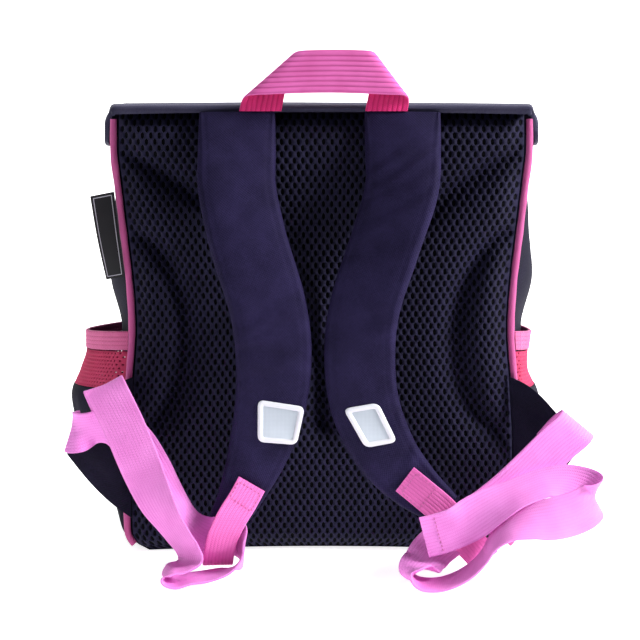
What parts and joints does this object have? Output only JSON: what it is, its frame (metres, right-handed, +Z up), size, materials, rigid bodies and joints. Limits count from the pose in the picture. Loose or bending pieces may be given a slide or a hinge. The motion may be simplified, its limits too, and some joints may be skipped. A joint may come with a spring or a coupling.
{
  "type": "toddler backpack",
  "caption": "Small upright backpack with a padded mesh back, curved shoulder straps, adjusting webbing, a carry loop, bulging side pockets and a lid closing over the front.",
  "frame": {"origin": "on the floor under the middle of the flat base", "axes": "+Z up; the padded back panel and shoulder straps face -Y, the lid hangs down the +Y side; +X is to the right when looking at the back panel"},
  "size_m": [0.3274, 0.2391, 0.3077],
  "materials": {
    "navy_cloth": "smooth coated weave",
    "navy_mesh": "open knitted mesh over padding",
    "pink_webbing": "ribbed webbing",
    "pink_elastic": "ribbed elastic",
    "pink_net": "knitted net",
    "pink_piping": "bound cord",
    "reflecting_film": "silver reflecting film",
    "label_cloth": "woven tape, bare",
    "clasp_plastic": "moulded"
  },
  "bodies": {
    "root": {"adjuster_webbing_left": "pink_webbing", "adjuster_webbing_right": "pink_webbing", "back_panel": "navy_mesh", "base_panel": "navy_cloth", "carry_handle": "pink_webbing", "front_panel": "navy_cloth", "gusset_left": "navy_cloth", "gusset_right": "navy_cloth", "lid": "navy_cloth", "lid_clasp": "clasp_plastic", "piping_left": "pink_piping", "piping_right": "pink_piping", "pocket_base_left": "navy_cloth", "pocket_base_right": "navy_cloth", "pocket_net_left": "pink_net", "pocket_net_right": "pink_net", "pocket_rim_left": "pink_elastic", "pocket_rim_right": "pink_elastic", "reflector_left": "reflecting_film", "reflector_right": "reflecting_film", "shoulder_strap_left": "navy_cloth", "shoulder_strap_right": "navy_cloth", "side_label": "label_cloth", "strap_tab_left": "pink_webbing", "strap_tab_right": "pink_webbing", "wing_left": "navy_cloth", "wing_right": "navy_cloth"}
  },
  "joints": []
}
